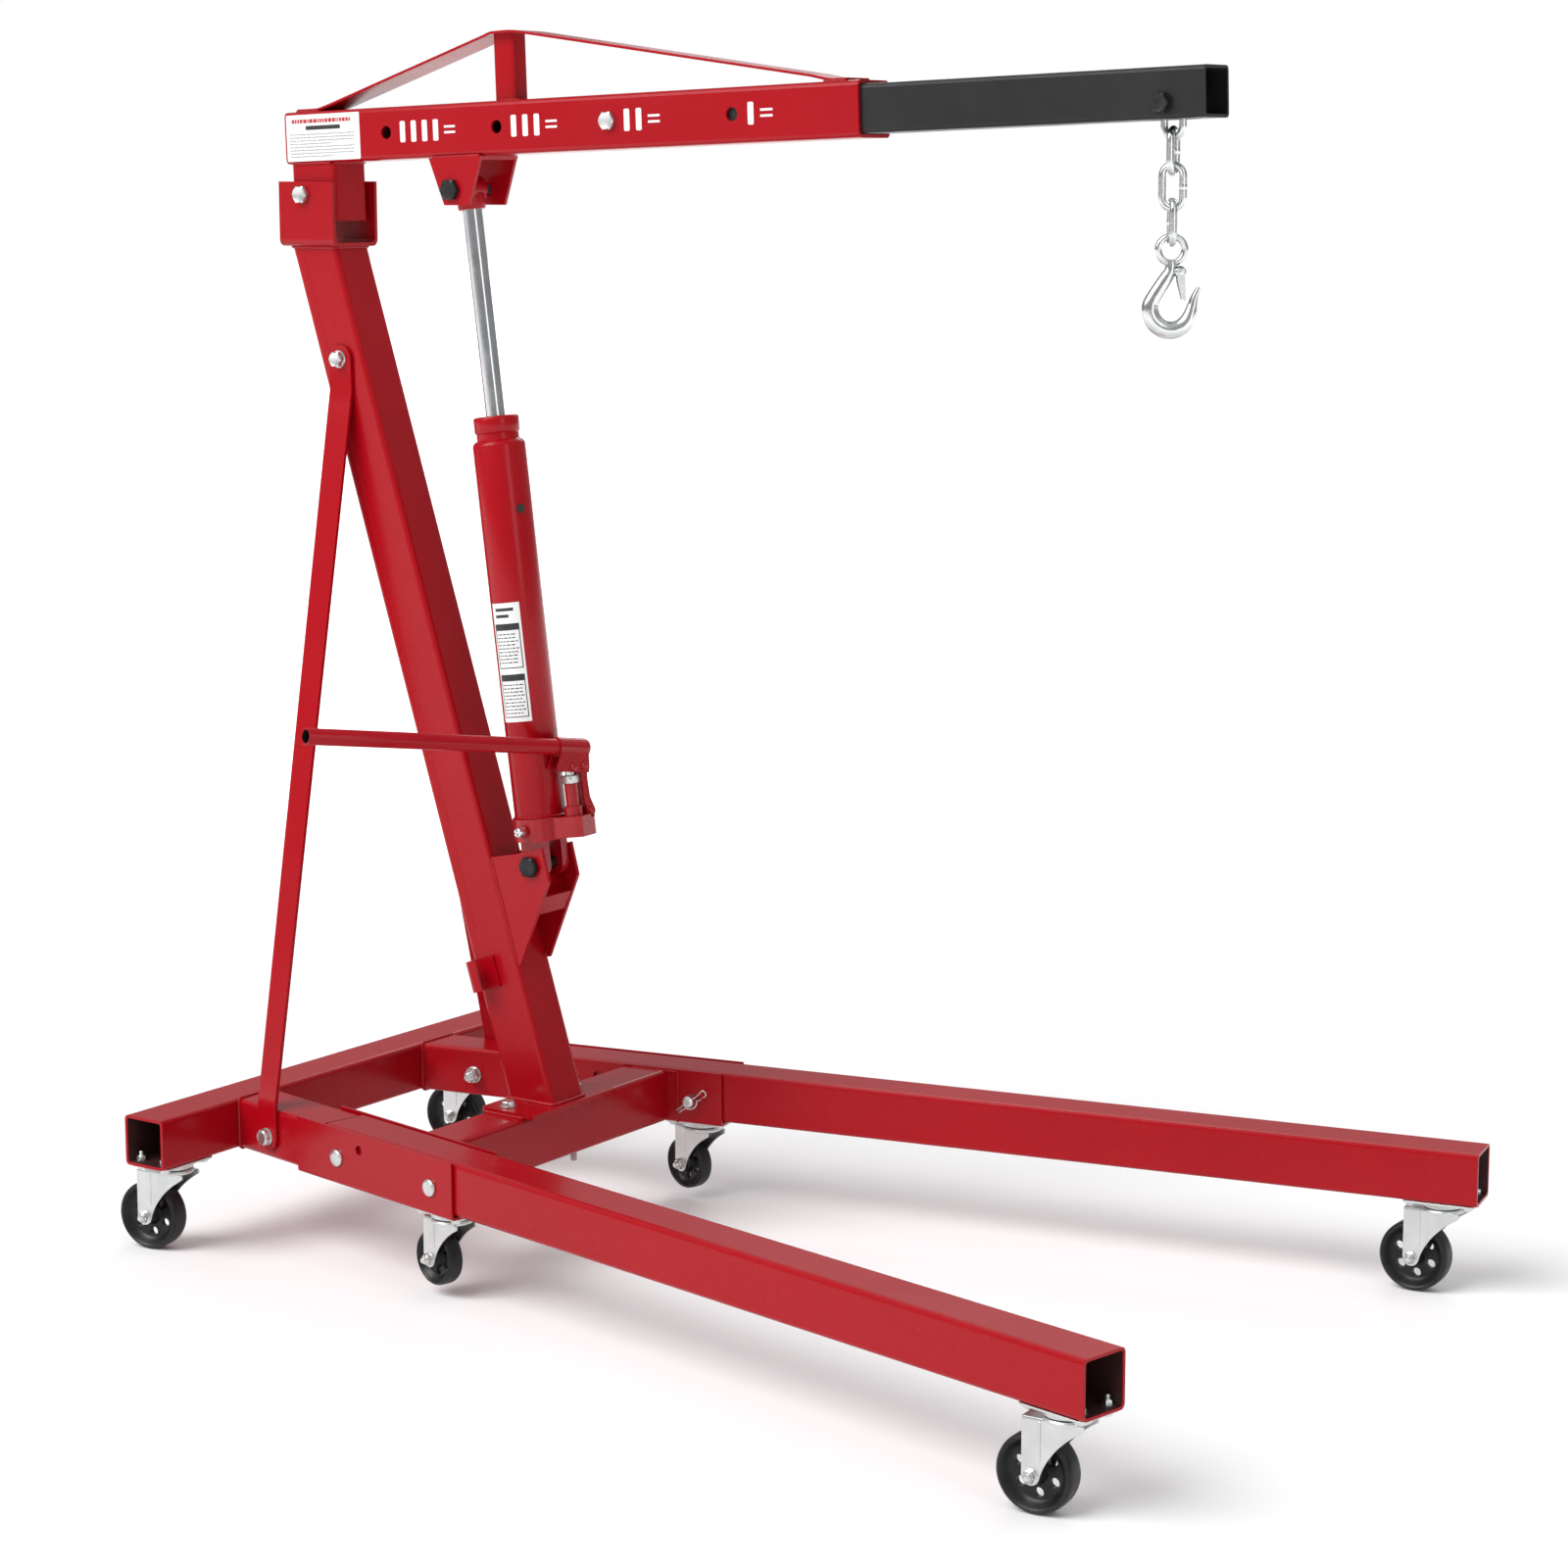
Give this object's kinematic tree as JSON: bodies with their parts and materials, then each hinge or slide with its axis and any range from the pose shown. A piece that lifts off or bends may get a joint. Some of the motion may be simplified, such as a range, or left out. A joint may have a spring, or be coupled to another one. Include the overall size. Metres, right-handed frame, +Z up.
{
  "type": "engine hoist crane",
  "caption": "Folding hydraulic engine hoist on casters: splayed folding legs, leaning post, telescopic boom, long-ram jack, chain and latched hook.",
  "frame": {"origin": "floor under the middle of the crane's length and width", "axes": "+X forward to the leg tips, +Y to the crane's left, +Z up"},
  "size_m": [1.5901, 1.0266, 1.5833],
  "materials": {
    "red_paint": "gloss red powder coat",
    "black_paint": "satin black paint",
    "zinc": "bright zinc plate",
    "chrome": "polished",
    "black_oxide": "black oxide",
    "wheel_plastic": "hard black wheel plastic, satin"
  },
  "bodies": {
    "base": {"rear_crossbar": "red_paint", "front_beam": "red_paint", "post_foot_plate": "red_paint", "post": "red_paint", "post_head_bracket": "red_paint", "jack_bracket": "red_paint", "boom_pivot_bolt": "zinc", "jack_foot_bolt": "black_oxide", "right_rail": "red_paint", "right_channel": "red_paint", "right_leg_pivot_pin": "zinc", "right_lock_pin": "zinc", "right_brace": "red_paint", "rear_right_caster_plate": "zinc", "mid_right_caster_plate": "zinc", "left_rail": "red_paint", "left_channel": "red_paint", "left_leg_pivot_pin": "zinc", "left_lock_pin": "zinc", "left_brace": "red_paint", "rear_left_caster_plate": "zinc", "mid_left_caster_plate": "zinc"},
    "right_leg": {"right_leg": "red_paint", "tip_right_caster_plate": "zinc"},
    "left_leg": {"left_leg": "red_paint", "tip_left_caster_plate": "zinc"},
    "rear_right_fork": {"rear_right_fork": "zinc"},
    "rear_right_wheel": {"rear_right_wheel": "wheel_plastic"},
    "mid_right_fork": {"mid_right_fork": "zinc"},
    "mid_right_wheel": {"mid_right_wheel": "wheel_plastic"},
    "tip_right_fork": {"tip_right_fork": "zinc"},
    "tip_right_wheel": {"tip_right_wheel": "wheel_plastic"},
    "rear_left_fork": {"rear_left_fork": "zinc"},
    "rear_left_wheel": {"rear_left_wheel": "wheel_plastic"},
    "mid_left_fork": {"mid_left_fork": "zinc"},
    "mid_left_wheel": {"mid_left_wheel": "wheel_plastic"},
    "tip_left_fork": {"tip_left_fork": "zinc"},
    "tip_left_wheel": {"tip_left_wheel": "wheel_plastic"},
    "boom": {"boom_tube": "red_paint", "boom_pivot_block": "red_paint", "boom_strap": "red_paint", "ram_clevis": "red_paint", "boom_lock_bolt": "zinc", "ram_pin_bolt": "black_oxide"},
    "extension": {"boom_extension": "black_paint", "chain_bolt": "black_oxide"},
    "jack_barrel": {"jack_base": "red_paint", "jack_cylinder": "red_paint", "pump_link": "red_paint"},
    "ram": {"jack_ram": "chrome"},
    "release_valve": {"release_valve": "zinc"},
    "pump_socket": {"pump_socket": "red_paint"},
    "pump_plunger": {"pump_plunger": "chrome"},
    "pump_handle": {"pump_handle": "red_paint"},
    "chain_link_1": {"chain_link_1": "zinc"},
    "chain_link_2": {"chain_link_2": "zinc"},
    "chain_link_3": {"chain_link_3": "zinc"},
    "chain_link_4": {"chain_link_4": "zinc"},
    "hook": {"hook": "zinc"},
    "hook_latch": {"hook_latch": "zinc"}
  },
  "joints": [
    {"name": "right_leg_fold", "type": "hinge", "parent": "base", "child": "right_leg", "pos_m": [-0.45626, -0.23159, 0.155], "axis": [-0.1959, -0.9806, 0], "range_deg": [0, 72]},
    {"name": "left_leg_fold", "type": "hinge", "parent": "base", "child": "left_leg", "pos_m": [-0.45626, 0.23159, 0.155], "axis": [0.1959, -0.9806, 0], "range_deg": [0, 85]},
    {"name": "rear_right_swivel", "type": "hinge", "parent": "base", "child": "rear_right_fork", "pos_m": [-0.71275, -0.313, 0.1232], "axis": [0, 0, 1], "continuous": true},
    {"name": "rear_right_spin", "type": "hinge", "parent": "rear_right_fork", "child": "rear_right_wheel", "pos_m": [-0.74642, -0.31773, 0.0455], "axis": [-0.1392, 0.9903, 0], "continuous": true},
    {"name": "mid_right_swivel", "type": "hinge", "parent": "base", "child": "mid_right_fork", "pos_m": [-0.27181, -0.26845, 0.1194], "axis": [0, 0, 1], "continuous": true},
    {"name": "mid_right_spin", "type": "hinge", "parent": "mid_right_fork", "child": "mid_right_wheel", "pos_m": [-0.29919, -0.26263, 0.0509], "axis": [0.2079, 0.9781, 0], "continuous": true},
    {"name": "tip_right_swivel", "type": "hinge", "parent": "right_leg", "child": "tip_right_fork", "pos_m": [0.74117, -0.47086, 0.1244], "axis": [0, 0, 1], "continuous": true},
    {"name": "tip_right_spin", "type": "hinge", "parent": "tip_right_fork", "child": "tip_right_wheel", "pos_m": [0.70725, -0.47323, 0.0455], "axis": [-0.0698, 0.9976, 0], "continuous": true},
    {"name": "rear_left_swivel", "type": "hinge", "parent": "base", "child": "rear_left_fork", "pos_m": [-0.71275, 0.313, 0.1232], "axis": [0, 0, 1], "continuous": true},
    {"name": "rear_left_spin", "type": "hinge", "parent": "rear_left_fork", "child": "rear_left_wheel", "pos_m": [-0.74642, 0.30827, 0.0455], "axis": [-0.1392, 0.9903, 0], "continuous": true},
    {"name": "mid_left_swivel", "type": "hinge", "parent": "base", "child": "mid_left_fork", "pos_m": [-0.27181, 0.26845, 0.1194], "axis": [0, 0, 1], "continuous": true},
    {"name": "mid_left_spin", "type": "hinge", "parent": "mid_left_fork", "child": "mid_left_wheel", "pos_m": [-0.29919, 0.27427, 0.0509], "axis": [0.2079, 0.9781, 0], "continuous": true},
    {"name": "tip_left_swivel", "type": "hinge", "parent": "left_leg", "child": "tip_left_fork", "pos_m": [0.74117, 0.47086, 0.1244], "axis": [0, 0, 1], "continuous": true},
    {"name": "tip_left_spin", "type": "hinge", "parent": "tip_left_fork", "child": "tip_left_wheel", "pos_m": [0.70725, 0.46849, 0.0455], "axis": [-0.0698, 0.9976, 0], "continuous": true},
    {"name": "boom_lift", "type": "hinge", "parent": "base", "child": "boom", "pos_m": [-0.6905, 0, 1.377], "axis": [0, -1, 0], "range_deg": [-12, 36]},
    {"name": "boom_extend", "type": "slide", "parent": "boom", "child": "extension", "axis": [0.9994, 0, 0.034], "range_m": [-0.3625, 0.187]},
    {"name": "jack_tilt", "type": "hinge", "parent": "base", "child": "jack_barrel", "pos_m": [-0.3285, 0, 0.514], "axis": [0, -1, 0], "range_deg": [-0.5, 1.2]},
    {"name": "ram_stroke", "type": "slide", "parent": "jack_barrel", "child": "ram", "axis": [-0.1288, 0, 0.9917], "range_m": [-0.055, 0.16]},
    {"name": "release_valve_turn", "type": "hinge", "parent": "jack_barrel", "child": "release_valve", "pos_m": [-0.33455, -0.03, 0.56061], "axis": [0, 1, 0], "range_deg": [0, 180]},
    {"name": "pump_rock", "type": "hinge", "parent": "jack_barrel", "child": "pump_socket", "pos_m": [-0.2885, 0.02144, 0.64424], "axis": [0.9609, -0.247, 0.1248], "range_deg": [-30, 8]},
    {"name": "plunger_stroke", "type": "slide", "parent": "jack_barrel", "child": "pump_plunger", "axis": [-0.1288, 0, 0.9917], "range_m": [-0.004, 0.011]},
    {"name": "handle_pull", "type": "slide", "parent": "pump_socket", "child": "pump_handle", "axis": [-0.2631, -0.9552, 0.1357], "range_m": [0, 0.035]},
    {"name": "chain_link_1_swing", "type": "hinge", "parent": "extension", "child": "chain_link_1", "pos_m": [0.58312, 0, 1.4838], "axis": [0, 1, 0], "range_deg": [-20, 20]},
    {"name": "chain_link_2_swing", "type": "hinge", "parent": "chain_link_1", "child": "chain_link_2", "pos_m": [0.58312, 0, 1.44595], "axis": [1, 0, 0], "range_deg": [-20, 20]},
    {"name": "chain_link_3_swing", "type": "hinge", "parent": "chain_link_2", "child": "chain_link_3", "pos_m": [0.58312, 0, 1.40635], "axis": [-0.2079, 0.9781, 0], "range_deg": [-20, 20]},
    {"name": "chain_link_4_swing", "type": "hinge", "parent": "chain_link_3", "child": "chain_link_4", "pos_m": [0.58312, 0, 1.36675], "axis": [0.9135, 0.4067, 0], "range_deg": [-20, 20]},
    {"name": "hook_swing", "type": "hinge", "parent": "chain_link_4", "child": "hook", "pos_m": [0.58312, 0, 1.32675], "axis": [-0.5878, 0.809, 0], "range_deg": [-20, 20]},
    {"name": "hook_latch_swing", "type": "hinge", "parent": "hook", "child": "hook_latch", "pos_m": [0.59105, 0.00576, 1.2954], "axis": [-0.5878, 0.809, 0], "range_deg": [0, 30], "stiffness_Nm_per_rad": 0.01, "springref_deg": -20.05}
  ],
  "couplings": [
    {"joint": "jack_tilt", "follows": "boom_lift", "ratio": 0.025},
    {"joint": "ram_stroke", "follows": "boom_lift", "m_per_rad": 0.241},
    {"joint": "plunger_stroke", "follows": "pump_rock", "m_per_rad": -0.018}
  ]
}
